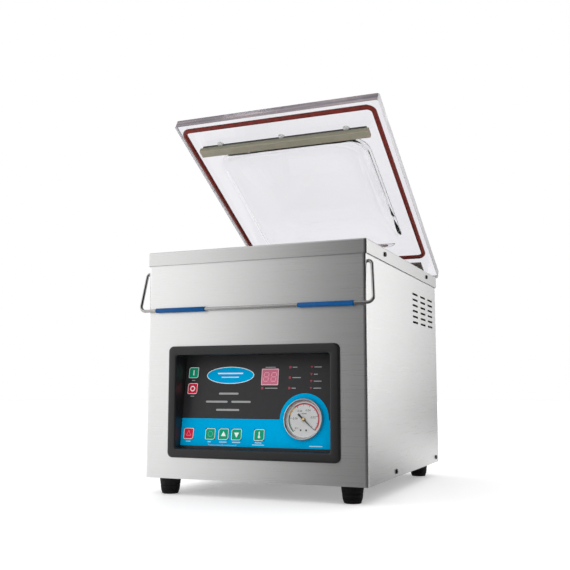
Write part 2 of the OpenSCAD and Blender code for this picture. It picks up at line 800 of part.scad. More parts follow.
module pump_body() {
    color("#7d8790") translate([pump_x, deck_y, pump_z]) {
        translate([-58, -68, 0]) cube([116, 108, 104]);
        for (k = [0:5]) translate([-50 + k * 18, -60, 104]) cube([4, 92, 8]);
        translate([-46, port_y, 112]) cylinder(h = 14, r = 9);
    }
}

module oil_box() {
    color("#5c6a78") translate([pump_x, deck_y, pump_z]) {
        translate([-55, -150, 0]) cube([110, 82, 128]);
        for (k = [0:4]) translate([-44 + k * 22 - 2, -155, 10]) cube([4, 5, 108]);
    }
}

module oil_sight_glass() {
    color("khaki") translate([pump_x + 55, deck_y - 108, pump_z + 42]) rod_x(13, 6);
}

module oil_filler_cap() {
    color("black") translate([pump_x + 20, deck_y - 110, pump_z + 128]) {
        cylinder(h = 6, r = 14, $fn = 6);
        translate([0, 0, 6]) cylinder(h = 10, r = 12);
    }
}

module motor_housing() {
    fins = 24;
    color("#8a9299") translate([pump_x, motor_front, motor_z]) difference() {
        union() {
            rod_y(motor_r - 8, motor_l);
            for (k = [0:fins - 1]) rotate([0, k * 360 / fins, 0])
                translate([-1.5, 8, 0]) cube([3, motor_l - 16, motor_r]);
            translate([-28, 30, motor_r - 12]) cube([56, 70, 26]);
        }
        translate([0, motor_l - 20, 0]) rod_y(7 + run_gap, 30);
    }
}

module motor_rotor() {
    blades = 7;
    color("#303030") translate([pump_x, motor_front + motor_l, motor_z]) {
        translate([0, -16, 0]) rod_y(7, 42);
        translate([0, 8, 0]) rod_y(18, 16);
        for (k = [0:blades - 1]) rotate([0, k * 360 / blades, 0])
            translate([-1.2, 9.5, 12]) cube([2.4, 13, 38]);
    }
}

module fan_cowl() {
    l = 42;
    color("#30343a") translate([pump_x, motor_front + motor_l - 8, motor_z]) difference() {
        rod_y(motor_r + 2, l);
        translate([0, -e, 0]) rod_y(motor_r - 2, l - 2 + e);
        for (k = [-4:4]) translate([0, l, k * 10]) cube([2 * half_chord(50, k * 10), 10, 5], center = true);
    }
}

module vacuum_valves() {
    color("#b9a24a") for (y = VALVE_Y) translate([valve_x, deck_y + y, valve_z]) {
        translate([-18, -18, 0]) cube([36, 36, valve_h]);
        translate([0, 0, -28]) cylinder(h = 28, r = 15);
        for (x = [-12, 12]) translate([x, 0, valve_h])
            cylinder(h = tub_floor - tub_t - valve_z - valve_h, r = 4);
    }
}

module air_hoses() {
    port = pump_z + 126;
    mid = valve_z + 13;
    bend = 18;
    stem = panel_depth + gauge_up * sin(panel_tilt) + (gauge_back + gauge_stem) * cos(panel_tilt);
    stem_z = opening_z + gauge_up * cos(panel_tilt) - (gauge_back + gauge_stem) * sin(panel_tilt);
    in_dir = [0, cos(panel_tilt), -sin(panel_tilt)];
    from = [gauge_x, front_y + stem, stem_z];
    color("#3a4148") {
        piped([[pump_x - 46, deck_y + port_y, port], [pump_x - 46, deck_y + port_y, mid],
            [valve_x + 18, deck_y + port_y, mid]], hose_r, bend);
        piped([[valve_x - 18, deck_y + port_y, mid], [suction_x, deck_y + port_y, mid],
            [suction_x, suction_y, mid], [suction_x, suction_y, tub_floor - 20]], hose_r, bend);
        piped([from, from + 14 * in_dir, [gauge_x, from.y + 14 * in_dir.y, tub_floor - tub_t]], 3, 8);
    }
}

module transformer() {
    color("#4a3b2c") translate([-112, deck_y + 100, base_top]) {
        translate([-38, -30, 0]) cube([76, 60, 62]);
        for (s = sides()) translate([0, s * 38, 31]) cube([44, 16, 40], center = true);
    }
}

module power_inlet() {
    color("#1c1c1c") translate([inlet_x, rear_y, inlet_z]) {
        difference() {
            union() {
                translate([-25, wall, -14]) cube([50, 3, 28]);
                translate([-13.8, -18, -9.8]) cube([27.6, 18 + wall, 19.6]);
            }
            translate([-12, -14, -8]) cube([24, 40, 16]);
        }
    }
    color("silver") for (p = [[-7, -2], [7, -2], [0, 3]])
        translate([inlet_x + p.x - 1, rear_y - 14, inlet_z + p.y - 2]) cube([2, 14, 4]);
}

module screw(l) {
    rod_x(screw_r, l);
    translate([-1.9, 0, 0]) rod_x(head_r, 1.9);
}

module cabinet_screws() {
    color("#1a1a1a") {
        for (s = [0, 1]) mirror([s, 0, 0]) {
            for (y = SKIRT_SCREW_Y) translate([deck_w / 2, deck_y + y, skirt_screw_z]) rotate(180) screw(8);
            for (y = BASE_SCREW_Y) translate([side_x, deck_y + y, base_screw_z]) rotate(180) screw(8);
            for (z = REAR_SCREW_Z) translate([rear_screw_x, rear_y + wall, z]) rotate(-90) screw(8);
            for (x = [-18, 18]) translate([arm_x + x, rear_y + wall + 3, hinge_z - bolt_drop]) rotate(-90) {
                rod_x(2.5, 12);
                translate([-3, 0, 0]) rod_x(4.5, 3);
            }
        }
    }
}

base_pan();
cabinet_shell();
rear_panel();
rubber_feet();
chamber_deck();
chamber_tub();
filler_plates();
lift_cylinders();
suction_fitting();
hinge_brackets();
hinge_pins();
gas_strut_tubes();
lid_switch();
bezel();
control_panel();
panel_overlay();
display_window();
indicator_lamps();
gauge_case();
gauge_dial();
gauge_lens();
control_board();
pump_body();
oil_box();
oil_sight_glass();
oil_filler_cap();
motor_housing();
fan_cowl();
pump_mounts();
vacuum_valves();
air_hoses();
transformer();
power_inlet();
cabinet_screws();
lid_plate();
lid_gasket();
pad_rail();
seal_pad();
pad_studs();
hinge_leaf();
lid_arms();
lid_bolts();
bail_wire();
bail_sleeves();
seal_bar_body();
sealing_wires();
ptfe_strip();
electrode_pins();
strut_rod_left();
strut_rod_right();
gauge_needle();
key_on();
key_off();
key_stop();
key_set();
key_up();
key_down();
key_temp();
switch_plunger();
motor_rotor();
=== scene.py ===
"""Looks of the vacuum chamber sealer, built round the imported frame.

Lengths are millimetres times MM, so that every object is in metres, in the frame's own coordinates.
"""
import json
import math

import bpy
from mathutils import Matrix, Vector


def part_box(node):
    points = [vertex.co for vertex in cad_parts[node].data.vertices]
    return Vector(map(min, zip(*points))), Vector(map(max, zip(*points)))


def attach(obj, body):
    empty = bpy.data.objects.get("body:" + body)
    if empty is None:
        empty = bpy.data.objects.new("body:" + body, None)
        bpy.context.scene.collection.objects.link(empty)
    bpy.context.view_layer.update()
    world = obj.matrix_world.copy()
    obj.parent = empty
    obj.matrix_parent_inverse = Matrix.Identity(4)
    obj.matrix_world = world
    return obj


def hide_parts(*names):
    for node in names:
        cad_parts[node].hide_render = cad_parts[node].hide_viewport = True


MM = 0.001
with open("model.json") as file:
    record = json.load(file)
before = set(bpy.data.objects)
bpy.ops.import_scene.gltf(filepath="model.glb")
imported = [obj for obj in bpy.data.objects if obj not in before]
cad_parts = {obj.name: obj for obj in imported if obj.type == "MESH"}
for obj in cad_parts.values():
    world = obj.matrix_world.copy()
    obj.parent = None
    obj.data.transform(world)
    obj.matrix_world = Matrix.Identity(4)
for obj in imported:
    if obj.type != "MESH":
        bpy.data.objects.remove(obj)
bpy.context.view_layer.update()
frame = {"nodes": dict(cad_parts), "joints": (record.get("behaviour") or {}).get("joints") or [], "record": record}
nodes = frame["nodes"]
joints = {j["name"]: j for j in frame["joints"]}


# ---- the stage ----

CAMERA_AT = (0.52606, -1.37799, 0.16431)
CAMERA_TILT = 97.174
CAMERA_TURN = 22.571
CAMERA_LENS = 51.79
STUDIO_LIGHT = (1.46, 1.46, 1.46)    # what reflections see
STUDIO_TOP = (0.60, 0.60, 0.61)      # the same, straight overhead
STUDIO_SOFT = (1.12, 1.12, 1.12)     # what lights the matt surfaces
TOP_FROM = 0.5                       # height in the sky, of 1, where the light begins to fall
# Dark flags, upright bands that only reflections see: azimuth from the front to the right, half width
# of the core and of the edge in degrees, and the colour
FRONT_FLAG = (10, 26, 43, (0.16, 0.16, 0.16))
CORNER_FLAG = (62, 22, 42, (0.01, 0.01, 0.011))
REAR_FLAG = (183, 11, 19, (0.05, 0.05, 0.05))
FLAGS = (FRONT_FLAG, CORNER_FLAG, REAR_FLAG)
FLOOR_GLOW = 0.26
FLOOR_PIVOT = (0.53, 0.88)           # the flags' bands on the floor spread from this point


def make_camera():
    data = bpy.data.cameras.new("camera")
    data.sensor_width = 36
    data.lens = CAMERA_LENS
    data.clip_end = 100
    camera = bpy.data.objects.new("camera", data)
    camera.location = CAMERA_AT
    camera.rotation_euler = (math.radians(CAMERA_TILT), 0, math.radians(CAMERA_TURN))
    bpy.context.scene.collection.objects.link(camera)
    bpy.context.scene.camera = camera


def add_node(tree, kind, **values):
    node = tree.nodes.new(kind)
    for name, value in values.items():
        setattr(node, name, value)
    return node


def band(tree, direction, azimuth, near, far):
    """1 within `near` degrees of an azimuth, falling to 0 at `far` degrees."""
    flat = add_node(tree, "ShaderNodeVectorMath", operation="MULTIPLY")
    flat.inputs[1].default_value = (1, 1, 0)
    tree.links.new(direction, flat.inputs[0])
    unit = add_node(tree, "ShaderNodeVectorMath", operation="NORMALIZE")
    tree.links.new(flat.outputs["Vector"], unit.inputs[0])
    dot = add_node(tree, "ShaderNodeVectorMath", operation="DOT_PRODUCT")
    dot.inputs[1].default_value = (math.sin(math.radians(azimuth)), -math.cos(math.radians(azimuth)), 0)
    tree.links.new(unit.outputs["Vector"], dot.inputs[0])
    fall = add_node(tree, "ShaderNodeMapRange", interpolation_type="SMOOTHSTEP")
    fall.inputs["From Min"].default_value = math.cos(math.radians(far))
    fall.inputs["From Max"].default_value = math.cos(math.radians(near))
    tree.links.new(dot.outputs["Value"], fall.inputs["Value"])
    return fall.outputs["Result"]


def floor_look():
    """A white table with a slight glow. Reflections see no glow, and the flags' dark bands."""
    shader = Shader("floor_white", (0.93, 0.93, 0.93), 0.6)
    tree = shader.tree
    shader.rough_from(shader.noise(3), 0.55, 0.65)
    away = add_node(tree, "ShaderNodeVectorMath", operation="SUBTRACT")
    away.inputs[1].default_value = (*FLOOR_PIVOT, 0)
    shader.link(shader.coord.outputs["Object"], away.inputs[0])
    path = add_node(tree, "ShaderNodeLightPath")
    glow = add_node(tree, "ShaderNodeMapRange")
    glow.inputs["To Min"].default_value = FLOOR_GLOW
    glow.inputs["To Max"].default_value = 0
    shader.link(path.outputs["Is Glossy Ray"], glow.inputs["Value"])
    shader.bsdf.inputs["Emission Color"].default_value = (1, 1, 1, 1)
    shader.link(glow.outputs["Result"], shader.bsdf.inputs["Emission Strength"])
    surface = shader.bsdf.outputs["BSDF"]
    for azimuth, near, far, colour in FLAGS:
        flag = add_node(tree, "ShaderNodeMath", operation="MULTIPLY")
        shader.link(band(tree, away.outputs["Vector"], azimuth, near, far), flag.inputs[0])
        shader.link(path.outputs["Is Glossy Ray"], flag.inputs[1])
        dark = add_node(tree, "ShaderNodeEmission")
        dark.inputs["Color"].default_value = (*colour, 1)
        mix = add_node(tree, "ShaderNodeMixShader")
        shader.link(flag.outputs[0], mix.inputs["Fac"])
        shader.link(surface, mix.inputs[1])
        shader.link(dark.outputs["Emission"], mix.inputs[2])
        surface = mix.outputs["Shader"]
    shader.link(surface, tree.nodes["Material Output"].inputs["Surface"])
    return shader.material


def make_floor():
    radius = 9
    sides = 64
    ring = [(radius * math.cos(math.tau * k / sides), radius * math.sin(math.tau * k / sides), 0)
            for k in range(sides)]
    mesh = bpy.data.meshes.new("floor")
    mesh.from_pydata(ring, [], [tuple(range(sides))])
    mesh.materials.append(floor_look())
    floor = bpy.data.objects.new("floor", mesh)
    bpy.context.scene.collection.objects.link(floor)


def make_world():
    """A white studio. Reflections see it dimmer overhead, and with the dark flags."""
    world = bpy.data.worlds.new("studio")
    bpy.context.scene.world = world
    world.use_nodes = True
    world.cycles.sampling_method = "NONE"
    tree = world.node_tree
    tree.nodes.clear()
    link = tree.links.new
    coord = add_node(tree, "ShaderNodeTexCoord")
    path = add_node(tree, "ShaderNodeLightPath")

    def blend_in(colour, by, other):
        mix = add_node(tree, "ShaderNodeMix", data_type="RGBA")
        link(by, mix.inputs["Factor"])
        link(colour, mix.inputs["A"])
        mix.inputs["B"].default_value = (*other, 1)
        return mix.outputs["Result"]

    base = add_node(tree, "ShaderNodeRGB")
    base.outputs[0].default_value = (*STUDIO_LIGHT, 1)
    direction = coord.outputs["Generated"]
    up = add_node(tree, "ShaderNodeSeparateXYZ")
    link(direction, up.inputs["Vector"])
    overhead = add_node(tree, "ShaderNodeMapRange")
    overhead.inputs["From Min"].default_value = TOP_FROM
    link(up.outputs["Z"], overhead.inputs["Value"])
    colour = blend_in(base.outputs[0], overhead.outputs["Result"], STUDIO_TOP)
    for azimuth, near, far, dark in FLAGS:
        colour = blend_in(colour, band(tree, direction, azimuth, near, far), dark)
    # Light that a clear body lets through counts as glossy as well
    mirrored = add_node(tree, "ShaderNodeMath", operation="SUBTRACT", use_clamp=True)
    link(path.outputs["Is Glossy Ray"], mirrored.inputs[0])
    link(path.outputs["Is Transmission Ray"], mirrored.inputs[1])
    plain_ray = add_node(tree, "ShaderNodeMath", operation="SUBTRACT")
    plain_ray.inputs[0].default_value = 1.0
    link(mirrored.outputs[0], plain_ray.inputs[1])
    colour = blend_in(colour, plain_ray.outputs[0], (1, 1, 1))
    colour = blend_in(colour, path.outputs["Is Diffuse Ray"], STUDIO_SOFT)
    light = add_node(tree, "ShaderNodeBackground")
    link(colour, light.inputs["Color"])
    out = add_node(tree, "ShaderNodeOutputWorld")
    link(light.outputs["Background"], out.inputs["Surface"])


# ---- materials ----

NOISE_SPAN = (0.3, 0.7)              # where most of the noise's values lie
looks = {}                           # every material, by its name in this script


class Shader:
    """A Principled material with a few procedural textures in object coordinates, kept in `looks`."""

    def __init__(self, name, colour, rough, metallic=0.0, **sockets):
        self.material = bpy.data.materials.new(name)
        looks[name] = self.material
        self.material.use_nodes = True
        self.material.diffuse_color = (*colour, 1)
        self.tree = self.material.node_tree
        self.bsdf = self.tree.nodes["Principled BSDF"]
        self.coord = self.tree.nodes.new("ShaderNodeTexCoord")
        self.bump_normal = None
        self.bsdf.inputs["Base Color"].default_value = (*colour, 1)
        self.bsdf.inputs["Roughness"].default_value = rough
        self.bsdf.inputs["Metallic"].default_value = metallic
        for socket, value in sockets.items():
            self.bsdf.inputs[socket.replace("_", " ")].default_value = value

    def link(self, out, into):
        self.tree.links.new(out, into)

    def noise(self, scale, stretch=(1, 1, 1), detail=4.0):
        """Noise of about `scale` waves a metre, times the stretch along each axis."""
        mapping = self.tree.nodes.new("ShaderNodeMapping")
        mapping.inputs["Scale"].default_value = [scale * s for s in stretch]
        noise = self.tree.nodes.new("ShaderNodeTexNoise")
        noise.inputs["Scale"].default_value = 1.0
        noise.inputs["Detail"].default_value = detail
        self.link(self.coord.outputs["Object"], mapping.inputs["Vector"])
        self.link(mapping.outputs["Vector"], noise.inputs["Vector"])
        return noise.outputs["Fac"]

    def ranged(self, value, low, high):
        """Noise stretched to run from `low` to `high`."""
        node = self.tree.nodes.new("ShaderNodeMapRange")
        node.inputs["From Min"].default_value = NOISE_SPAN[0]
        node.inputs["From Max"].default_value = NOISE_SPAN[1]
        node.inputs["To Min"].default_value = low
        node.inputs["To Max"].default_value = high
        self.link(value, node.inputs["Value"])
        return node.outputs["Result"]

    def mixed(self, value, first, second):
        """Noise as a run from one colour to another."""
        ramp = self.tree.nodes.new("ShaderNodeValToRGB")
        for element, position, colour in zip(ramp.color_ramp.elements, NOISE_SPAN, (first, second)):
            element.position = position
            element.color = (*colour, 1)
        self.link(value, ramp.inputs["Fac"])
        return ramp.outputs["Color"]

    def colour_from(self, value, first, second):
        self.link(self.mixed(value, first, second), self.bsdf.inputs["Base Color"])

    def rough_from(self, value, low, high):
        self.link(self.ranged(value, low, high), self.bsdf.inputs["Roughness"])

    def bump_from(self, value, depth, strength=1.0):
        bump = self.tree.nodes.new("ShaderNodeBump")
        bump.inputs["Strength"].default_value = strength
        bump.inputs["Distance"].default_value = depth
        self.link(value, bump.inputs["Height"])
        if self.bump_normal is not None:
            self.link(self.bump_normal, bump.inputs["Normal"])
        self.bump_normal = bump.outputs["Normal"]
        self.link(self.bump_normal, self.bsdf.inputs["Normal"])


def tinted(colour, factor):
    return tuple(min(1.0, c * factor) for c in colour)


def plain(name, colour, rough=0.5, grain=0.05, scale=120, bump=0.0, metallic=0.0, **sockets):
    """Even material: the colour wanders by `grain`, and the surface has a slight texture."""
    shader = Shader(name, colour, rough, metallic, **sockets)
    if grain:
        shader.colour_from(shader.noise(scale), tinted(colour, 1 - grain), tinted(colour, 1 + grain))
    shader.rough_from(shader.noise(scale * 0.4), rough * 0.88, min(1.0, rough * 1.12))
    if bump:
        shader.bump_from(shader.noise(scale * 9, detail=2.0), bump)


def brushed(name, colour, rough):
    """Sheet steel with fine horizontal brushing on upright faces and left-to-right on level ones.

    Reflections are spread across the brushing.
    """
    shader = Shader(name, colour, rough, 1.0, Anisotropic=0.85)
    tree = shader.tree
    along, across = 9, 2600
    upright = shader.noise(1.0, (along, along, across), detail=3.0)
    level = shader.noise(1.0, (along, across, along), detail=3.0)
    split = add_node(tree, "ShaderNodeSeparateXYZ")
    shader.link(shader.coord.outputs["Normal"], split.inputs["Vector"])
    flatness = add_node(tree, "ShaderNodeMath", operation="ABSOLUTE")
    shader.link(split.outputs["Z"], flatness.inputs[0])
    pick = add_node(tree, "ShaderNodeMix")
    shader.link(flatness.outputs[0], pick.inputs["Factor"])
    shader.link(upright, pick.inputs["A"])
    shader.link(level, pick.inputs["B"])
    lines = pick.outputs["Result"]
    tangent = add_node(tree, "ShaderNodeCombineXYZ")
    shader.link(flatness.outputs[0], tangent.inputs["Y"])
    steepness = add_node(tree, "ShaderNodeMath", operation="SUBTRACT")
    steepness.inputs[0].default_value = 1.0
    shader.link(flatness.outputs[0], steepness.inputs[1])
    shader.link(steepness.outputs[0], tangent.inputs["Z"])
    shader.link(tangent.outputs["Vector"], shader.bsdf.inputs["Tangent"])
    shader.colour_from(lines, tinted(colour, 0.97), tinted(colour, 1.03))
    shader.rough_from(lines, rough * 0.9, rough * 1.12)
    line_depth, wave_depth = 0.00002, 0.0004
    shader.bump_from(lines, line_depth, 0.16)
    shader.bump_from(shader.noise(14, detail=1.0), wave_depth, 0.12)


def make_materials():
    brushed("cabinet_steel", (0.72, 0.72, 0.715), 0.30)
    # The deck's steel is the cabinet's brushed steel made darker: painted shade.
    brushed("deck_steel_painted_shade", (0.62, 0.62, 0.615), 0.30)
    brushed("tub_steel", (0.66, 0.66, 0.66), 0.24)
    plain("zinc", (0.62, 0.63, 0.66), 0.34, 0.12, 260, 0.00004, 1.0)
    plain("drawn_steel", (0.40, 0.395, 0.39), 0.15, 0.10, 500, 0.00001, 1.0)
    plain("ring_satin", (0.66, 0.66, 0.665), 0.42, 0.03, 300, 0.00001, 1.0)
    plain("chrome", (0.78, 0.78, 0.78), 0.14, 0.02, 90, 0.0, 1.0)
    plain("aluminium", (0.76, 0.77, 0.78), 0.38, 0.05, 300, 0.00003, 1.0)
    plain("brass", (0.80, 0.58, 0.25), 0.28, 0.08, 260, 0.00002, 1.0)
    plain("nichrome", (0.40, 0.38, 0.36), 0.35, 0.15, 500, 0.0, 1.0)
    # The hinge leaf's and lid arms' steel, painted dark brown: painted shade, with a painted reflection of the red
    # gasket.
    plain("leaf_shade_and_reflection", (0.155, 0.135, 0.122), 0.55, 0.12, 200, 0.00004)
    plain("black_coat", (0.018, 0.018, 0.020), 0.42, 0.2, 240, 0.00003)
    plain("screw_black", (0.012, 0.012, 0.013), 0.30, 0.2, 400, 0.00001, 0.4)
    plain("moulded_black", (0.020, 0.020, 0.021), 0.45, 0.1, 300, 0.00003)
    plain("foot_rubber", (0.0045, 0.0045, 0.0042), 0.6, 0.25, 350, 0.00006, Specular_IOR_Level=0.2)
    plain("bezel_plastic", (0.011, 0.011, 0.012), 0.38, 0.08, 420, 0.00003)
    plain("panel_film", (0.022, 0.022, 0.024), 0.40, 0.06, 260, 0.00001, Specular_IOR_Level=0.35)
    plain("blue_film", (0.0, 0.345, 0.66), 0.40, 0.03, 200, 0.00001, Specular_IOR_Level=0.0)
    plain("white_print", (0.78, 0.80, 0.82), 0.5, 0.03, 200)
    plain("grey_print", (0.30, 0.30, 0.31), 0.5, 0.05, 200)
    plain("band_print", (0.42, 0.66, 0.80), 0.5, 0.03, 200)
    plain("key_white", (0.80, 0.84, 0.82), 0.45, 0.02, 200)
    plain("faint_red", (0.78, 0.20, 0.26), 0.45, 0.02, 200)
    plain("faint_green", (0.12, 0.50, 0.36), 0.45, 0.02, 200)
    plain("key_green", (0.0, 0.30, 0.165), 0.4, 0.04, 200, 0.00001, Specular_IOR_Level=0.12)
    plain("key_red", (0.62, 0.010, 0.05), 0.4, 0.04, 200, 0.00001, Specular_IOR_Level=0.12)
    plain("lamp_red", (0.30, 0.035, 0.055), 0.3, 0.05, 300)
    plain("display_pink", (0.50, 0.115, 0.19), 0.22, 0.05, 90, Coat_Weight=0.4)
    plain("digit_pink", (0.68, 0.26, 0.34), 0.3, 0.05, 90)
    plain("display_rim", (0.72, 0.42, 0.48), 0.4, 0.04, 90)
    plain("dial_white", (0.96, 0.965, 0.97), 0.45, 0.012, 160)
    plain("dial_red", (0.70, 0.03, 0.06), 0.45, 0.03, 160)
    plain("dial_green", (0.05, 0.20, 0.12), 0.45, 0.03, 160)
    plain("dial_yellow", (0.78, 0.42, 0.04), 0.45, 0.03, 160)
    plain("ink_black", (0.03, 0.03, 0.032), 0.45, 0.05, 160)
    plain("lens", (1.0, 1.0, 1.0), 0.02, 0.0, 60, Transmission_Weight=1.0, IOR=1.15)
    plain("sight_glass", (0.72, 0.48, 0.12), 0.08, 0.05, 60, Coat_Weight=0.8)
    plain("board_green", (0.02, 0.13, 0.05), 0.4, 0.2, 400, 0.00003)
    plain("cast_grey", (0.24, 0.27, 0.30), 0.5, 0.12, 160, 0.0001)
    plain("cast_blue", (0.10, 0.13, 0.18), 0.5, 0.12, 160, 0.0001)
    plain("hose_black", (0.035, 0.040, 0.046), 0.5, 0.1, 300, 0.00004)
    plain("laminations", (0.10, 0.07, 0.05), 0.55, 0.3, 300, 0.0001)
    plain("board_white", (0.84, 0.84, 0.82), 0.45, 0.03, 60, 0.00008)
    plain("gasket_red", (0.150, 0.014, 0.008), 0.42, 0.25, 160, 0.00004, Specular_IOR_Level=0.3)
    plain("pad_beige", (0.265, 0.255, 0.192), 0.52, 0.06, 90, 0.00003, Subsurface_Weight=0.15)
    # The pad's rail, painted near-black: partly a dark holder strip, partly painted shade along the pad's front
    # edge.
    plain("rail_dark_and_shade", (0.045, 0.040, 0.036), 0.45, 0.1, 200, 0.00002)
    plain("sleeve_blue", (0.0, 0.070, 0.23), 0.36, 0.08, 180, 0.00003, Specular_IOR_Level=0.2)
    woven("tape_brown", (0.36, 0.20, 0.085), (0.25, 0.13, 0.05))
    acrylic("acrylic")
    # Painted reflection: the lid's front and rear edges coloured mauve with dark blue-grey streaks.
    streaked_reflection("acrylic_edge", (0.46, 0.38, 0.39), (0.13, 0.13, 0.17))
    # Painted reflection: the lid's side edges coloured a pale lavender, part clear.
    plain("acrylic_side", (0.70, 0.68, 0.71), 0.25, 0.08, 40, 0.0, Transmission_Weight=0.4, IOR=1.49)
    plain("stud_clear", (0.80, 0.80, 0.80), 0.2, 0.02, 60, 0.0, Transmission_Weight=0.5, IOR=1.2)
    # Painted shade: near-black standing for the shaded hollow of the screws' cross recesses.
    plain("cross_recess", (0.002, 0.002, 0.002), 0.6, 0.1, 400)


def woven(name, light, dark):
    """Glass-cloth tape: two crossed sets of threads under a smooth coat."""
    shader = Shader(name, light, 0.4)
    threads = []
    for axis in ("X", "Y"):
        wave = add_node(shader.tree, "ShaderNodeTexWave", bands_direction=axis)
        wave.inputs["Scale"].default_value = 380
        wave.inputs["Distortion"].default_value = 0.3
        shader.link(shader.coord.outputs["Object"], wave.inputs["Vector"])
        threads.append(wave.outputs["Fac"])
    cross = add_node(shader.tree, "ShaderNodeMath", operation="MULTIPLY")
    shader.link(threads[0], cross.inputs[0])
    shader.link(threads[1], cross.inputs[1])
    shader.colour_from(cross.outputs[0], dark, light)
    shader.bump_from(cross.outputs[0], 0.00005)


def streaked_reflection(name, light, dark):
    """A sawn and flamed acrylic edge, part clear, its colour a painted reflection of the surroundings: mauve with
    dark blue-grey streaks drawn out along it.
    """
    shader = Shader(name, light, 0.2, Transmission_Weight=0.35, IOR=1.49)
    shader.colour_from(shader.noise(1.0, (7, 160, 160), detail=3.0), light, dark)
    shader.rough_from(shader.noise(60), 0.12, 0.3)


def acrylic(name):
    """Clear cast acrylic, slightly wavy."""
    shader = Shader(name, (0.865, 0.86, 0.895), 0.015, Transmission_Weight=1.0, IOR=1.49)
    shader.rough_from(shader.noise(40, detail=2.0), 0.0, 0.03)
    shader.bump_from(shader.noise(9, detail=1.0), 0.0006, 0.05)


make_camera()
make_world()
make_floor()
make_materials()


def paint(look, *names):
    for name in names:
        mesh = nodes[name].data
        mesh.materials.clear()
        mesh.materials.append(looks[look])


def paint_cad_nodes():
    paint("cabinet_steel", "cabinet_shell", "rear_panel")
    # painted shade: the deck's steel darker than the cabinet's
    paint("deck_steel_painted_shade", "chamber_deck")
    paint("tub_steel", "chamber_tub", "base_pan")
    paint("zinc", "hinge_brackets", "hinge_pins", "lid_bolts", "strut_rod_left", "strut_rod_right")
    paint("drawn_steel", "bail_wire")
    paint("chrome", "gauge_case")
    paint("aluminium", "lift_cylinders", "seal_bar_body")
    paint("brass", "suction_fitting", "electrode_pins", "vacuum_valves")
    paint("nichrome", "sealing_wires")
    # steel in painted shade, with a painted reflection of the red gasket
    paint("leaf_shade_and_reflection", "hinge_leaf", "lid_arms")
    paint("black_coat", "gas_strut_tubes", "fan_cowl")
    paint("screw_black", "cabinet_screws")
    paint("moulded_black", "lid_switch", "power_inlet", "oil_filler_cap", "motor_rotor")
    paint("foot_rubber", "rubber_feet", "pump_mounts")
    paint("bezel_plastic", "bezel")
    paint("panel_film", "control_panel")
    paint("blue_film", "panel_overlay")
    paint("display_pink", "display_window")
    paint("lamp_red", "indicator_lamps")
    paint("dial_white", "gauge_dial")
    paint("lens", "gauge_lens")
    paint("ink_black", "gauge_needle")
    paint("board_green", "control_board")
    paint("cast_grey", "pump_body", "motor_housing")
    paint("cast_blue", "oil_box")
    paint("sight_glass", "oil_sight_glass")
    paint("hose_black", "air_hoses")
    paint("laminations", "transformer")
    paint("board_white", "filler_plates")
    paint("acrylic", "lid_plate")
    paint("stud_clear", "pad_studs")
    paint("gasket_red", "lid_gasket")
    # partly painted shade: the dark strip along the pad's front
    paint("rail_dark_and_shade", "pad_rail")
    paint("pad_beige", "seal_pad")
    paint("sleeve_blue", "bail_sleeves")
    paint("tape_brown", "ptfe_strip")
    paint("key_green", "key_on", "key_set", "key_up", "key_down", "key_temp")
    paint("key_red", "key_off", "key_stop", "switch_plunger")


def soften(width, *names):
    """Rounds off the sharp edges of CAD nodes by `width` mm."""
    for name in names:
        weld = nodes[name].modifiers.new("weld", "WELD")
        weld.merge_threshold = 0.00001
        edge = nodes[name].modifiers.new("edge", "BEVEL")
        edge.width = width * MM
        edge.segments = 2
        edge.limit_method = "ANGLE"
        edge.angle_limit = math.radians(40)
        edge.harden_normals = True


# ---- shapes ----

def piece(name, verts, faces, look, body, slot, smooth_angle=35):
    """A mesh object that rides on a body, with flat shading across edges sharper than the angle."""
    mesh = bpy.data.meshes.new(name)
    mesh.from_pydata([tuple(v) for v in verts], [], faces)
    mesh.validate()
    mesh.update()
    mesh.materials.append(looks[look])
    obj = bpy.data.objects.new(name, mesh)
    bpy.context.scene.collection.objects.link(obj)
    mesh.shade_smooth()
    mesh.set_sharp_from_angle(angle=math.radians(smooth_angle))
    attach(obj, body)
    return obj


def rounded_loop(half_x, half_y, radius, steps=8):
    """Points round a rectangle with round corners, counter-clockwise from the right side's top.

    The radius is one number, or four: top right, top left, bottom left, bottom right.
    """
    radii = radius if isinstance(radius, tuple) else (radius,) * 4
    points = []
    for corner, r in enumerate(radii):
        sx = 1 if corner in (0, 3) else -1
        sy = 1 if corner in (0, 1) else -1
        points += arc((sx * (half_x - r), sy * (half_y - r)), r, 90 * corner, 90 * corner + 90, steps)
    return points


def skinned(loops, closed=False):
    """Vertices and faces of a skin over loops of equal length, capped or joined end to end."""
    count = len(loops[0])
    verts = [v for loop in loops for v in loop]
    faces = []
    spans = len(loops) if closed else len(loops) - 1
    for i in range(spans):
        a, b = i * count, (i + 1) % len(loops) * count
        faces += [(a + k, a + (k + 1) % count, b + (k + 1) % count, b + k) for k in range(count)]
    if not closed:
        faces.append(tuple(reversed(range(count))))
        last = (len(loops) - 1) * count
        faces.append(tuple(range(last, last + count)))
    return verts, faces


def join(whole, part):
    """Adds a part's vertices and faces to a whole's."""
    verts, faces = whole
    faces += [tuple(i + len(verts) for i in face) for face in part[1]]
    verts += part[0]


def turned_loops(profile, place, steps):
    """Loops of a turned solid: (radius, height) pairs in mm, and `place` maps x, y, height."""
    return [[place(r * math.cos(math.tau * k / steps), r * math.sin(math.tau * k / steps), h)
             for k in range(steps)] for r, h in profile]


def arc(centre, radius, start, end, steps):
    """Points (u, v) on an arc between two angles in degrees."""
    return [(centre[0] + radius * math.cos(math.radians(start + (end - start) * k / steps)),
             centre[1] + radius * math.sin(math.radians(start + (end - start) * k / steps)))
            for k in range(steps + 1)]


# ---- the clear lid ----

